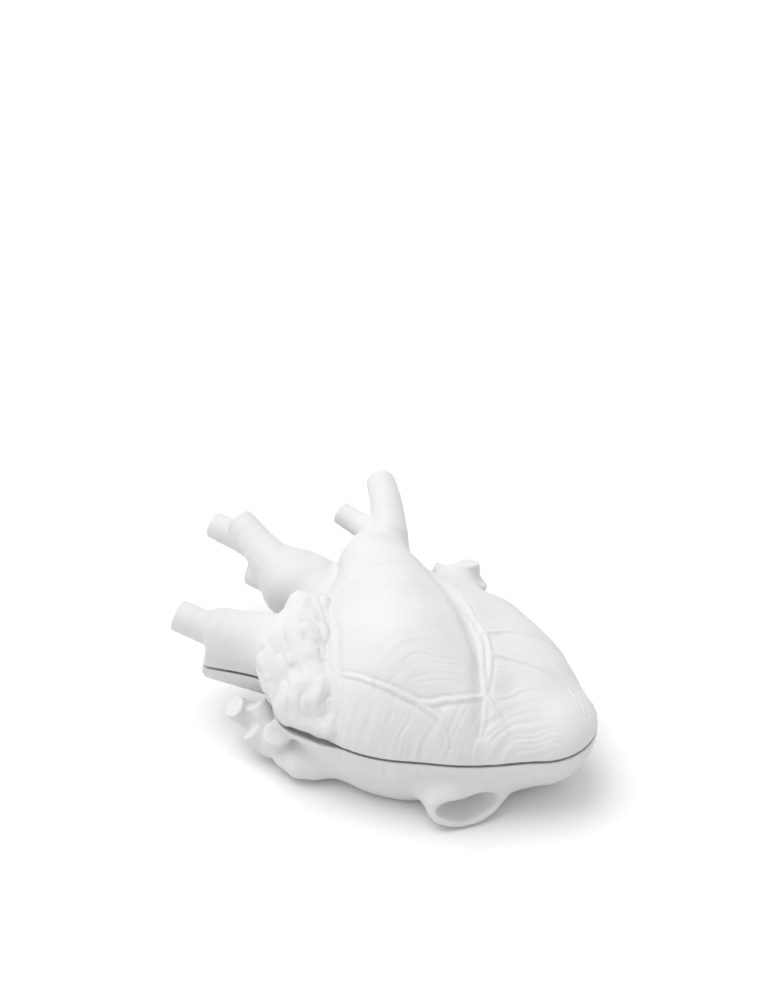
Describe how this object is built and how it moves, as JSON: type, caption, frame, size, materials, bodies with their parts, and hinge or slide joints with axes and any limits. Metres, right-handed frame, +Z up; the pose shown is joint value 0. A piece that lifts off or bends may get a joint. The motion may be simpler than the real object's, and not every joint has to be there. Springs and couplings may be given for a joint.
{
  "type": "wind-up music box",
  "caption": "Anatomical heart in matt white porcelain, split into a base and a lift-off lid, with a key-wound comb-and-cylinder musical movement inside.",
  "frame": {"origin": "centre of the whole box's outline, on the surface that it stands on", "axes": "+X towards the heart's tip, +Y towards the left auricle's stubs, +Z up"},
  "size_m": [0.2562, 0.1695, 0.0878],
  "materials": {
    "porcelain": "matt unglazed bisque",
    "felt": "dense felt",
    "cast_zinc": "as cast, satin",
    "steel": "bright turned",
    "fibre": "vulcanised fibre",
    "brass": "satin lacquered",
    "spring_steel": "blued",
    "comb_steel": "ground",
    "lead": "dull",
    "aluminium": "rolled sheet"
  },
  "bodies": {
    "base": {"base_shell": "porcelain", "felt_feet": "felt", "bedplate": "cast_zinc", "fixing_screws": "steel", "fixing_washers": "fibre", "spring_housing": "brass", "housing_screws": "steel", "mainspring": "spring_steel", "comb": "comb_steel", "comb_leads": "lead", "comb_screws": "steel", "governor_frame": "cast_zinc", "governor_screws": "steel", "lever_screw": "steel", "lever_spring": "spring_steel"},
    "winder": {"winding_arbor": "steel", "winding_key": "brass"},
    "drive_train": {"drive_wheel": "brass", "clutch_spring": "spring_steel"},
    "drum": {"cylinder": "brass", "cylinder_pins": "steel", "cylinder_arbor": "steel", "cylinder_pinion": "brass", "cylinder_gear": "brass"},
    "worm_gear": {"worm_wheel": "brass", "governor_pinion": "steel"},
    "fan": {"fan_shaft": "steel", "worm_thread": "steel", "air_fan": "aluminium"},
    "stop": {"stop_lever": "spring_steel"},
    "lid": {"lid_shell": "porcelain"}
  },
  "joints": [
    {"name": "lid_lift", "type": "slide", "parent": "base", "child": "lid", "axis": [0, 0, 1], "range_m": [0, 0.1]},
    {"name": "key_wind", "type": "hinge", "parent": "base", "child": "winder", "pos_m": [0.01569, -0.00625, 0.01], "axis": [0, 0, 1], "range_deg": [0, 1710]},
    {"name": "cylinder_spin", "type": "hinge", "parent": "base", "child": "drum", "pos_m": [0.0393, -0.00625, 0.03095], "axis": [1, 0, 0], "continuous": true},
    {"name": "drive_spin", "type": "hinge", "parent": "base", "child": "drive_train", "pos_m": [0.01569, -0.00625, 0.024], "axis": [0, 0, 1], "continuous": true},
    {"name": "governor_spin", "type": "hinge", "parent": "base", "child": "worm_gear", "pos_m": [0.0541, 0.00183, 0.02685], "axis": [1, 0, 0], "continuous": true},
    {"name": "fan_spin", "type": "hinge", "parent": "base", "child": "fan", "pos_m": [0.05409, 0.00696, 0.03], "axis": [0, 0, 1], "continuous": true},
    {"name": "lever_swing", "type": "hinge", "parent": "base", "child": "stop", "pos_m": [0.0586, 0.01625, 0.0355], "axis": [1, 0, 0], "range_deg": [0, 10]}
  ],
  "couplings": [
    {"joint": "drive_spin", "follows": "cylinder_spin", "ratio": 0.42857},
    {"joint": "governor_spin", "follows": "cylinder_spin", "ratio": -4},
    {"joint": "fan_spin", "follows": "cylinder_spin", "ratio": 64},
    {"joint": "lever_swing", "follows": "lid_lift", "rad_per_m": 1.74}
  ]
}
